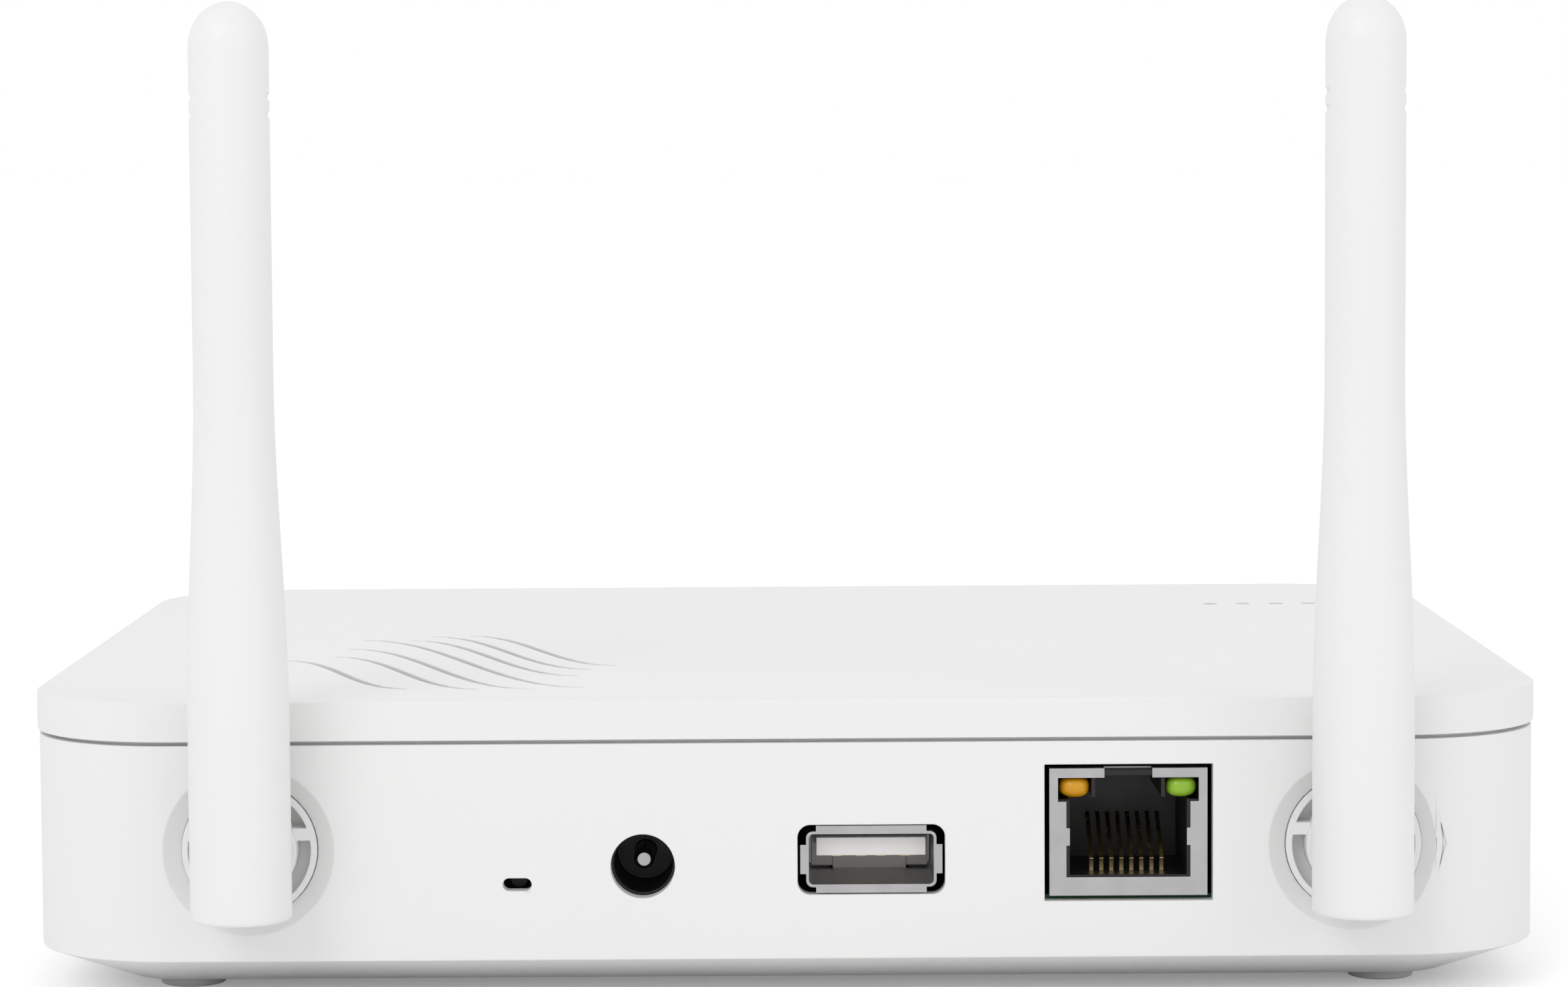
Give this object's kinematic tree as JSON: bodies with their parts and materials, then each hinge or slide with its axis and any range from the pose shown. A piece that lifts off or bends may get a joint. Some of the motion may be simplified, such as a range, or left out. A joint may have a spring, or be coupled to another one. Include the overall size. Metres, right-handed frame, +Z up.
{
  "type": "optical network terminal",
  "caption": "White desktop optical network terminal with two swivelling antennas, network, USB and power sockets, and a fibre socket on its side.",
  "frame": {"origin": "bottom centre of the overall box: on the table plane under the feet", "axes": "+Z up, -Y towards the port side, +X to the right when the ports are faced"},
  "size_m": [0.1554, 0.1316, 0.1012],
  "materials": {
    "white_shell": "fine moulded texture",
    "foot_rubber": "matt",
    "screw_steel": "plated",
    "board_green": "solder mask",
    "black_plastic": "satin",
    "socket_metal": "nickel plated",
    "pale_plastic": "satin",
    "contact_gold": "gold flash",
    "amber_lens": "tinted clear",
    "green_lens": "tinted clear",
    "fibre_green": "satin",
    "chip_resin": "moulded epoxy",
    "heatsink_alloy": "anodised",
    "clear_guide": "clear acrylic",
    "cable_grey": "satin"
  },
  "bodies": {
    "housing": {"base_shell": "white_shell", "top_cover": "white_shell", "rubber_feet": "foot_rubber", "housing_screws": "screw_steel", "main_board": "board_green", "board_screws": "screw_steel", "dc_jack_body": "black_plastic", "dc_jack_pin": "socket_metal", "dc_jack_terminals": "socket_metal", "usb_shield": "socket_metal", "usb_tongue": "pale_plastic", "usb_contacts": "contact_gold", "lan_socket_body": "black_plastic", "lan_socket_shield": "socket_metal", "lan_contacts": "contact_gold", "lan_led_amber": "amber_lens", "lan_led_green": "green_lens", "reset_switch_body": "black_plastic", "optical_receptacle": "fibre_green", "ferrule_sleeve": "pale_plastic", "optical_transceiver": "socket_metal", "optical_leads": "contact_gold", "processor_chip": "chip_resin", "heatsink": "heatsink_alloy", "memory_chip": "chip_resin", "flash_chip": "chip_resin", "wifi_shield_can": "socket_metal", "lan_transformer": "chip_resin", "capacitors": "chip_resin", "power_inductor": "chip_resin", "crystal": "socket_metal", "status_leds": "pale_plastic", "light_guide": "clear_guide", "coax_pigtails": "cable_grey", "coax_plugs": "contact_gold"},
    "reset_button": {"reset_plunger": "black_plastic"},
    "antenna_left": {"antenna_left_swivel": "white_shell", "antenna_left_sleeve": "white_shell", "antenna_left_radiator": "contact_gold", "antenna_left_feed": "cable_grey", "antenna_left_clip": "screw_steel"},
    "antenna_right": {"antenna_right_swivel": "white_shell", "antenna_right_sleeve": "white_shell", "antenna_right_radiator": "contact_gold", "antenna_right_feed": "cable_grey", "antenna_right_clip": "screw_steel"}
  },
  "joints": [
    {"name": "left_antenna_turn", "type": "hinge", "parent": "housing", "child": "antenna_left", "pos_m": [-0.0543, -0.05437, 0.0161], "axis": [0, 1, 0], "range_deg": [-90, 35]},
    {"name": "right_antenna_turn", "type": "hinge", "parent": "housing", "child": "antenna_right", "pos_m": [0.0574, -0.05437, 0.0161], "axis": [0, 1, 0], "range_deg": [-35, 90]},
    {"name": "reset_press", "type": "slide", "parent": "housing", "child": "reset_button", "axis": [0, 1, 0], "range_m": [0, 0.0003], "stiffness_N_per_m": 500}
  ]
}
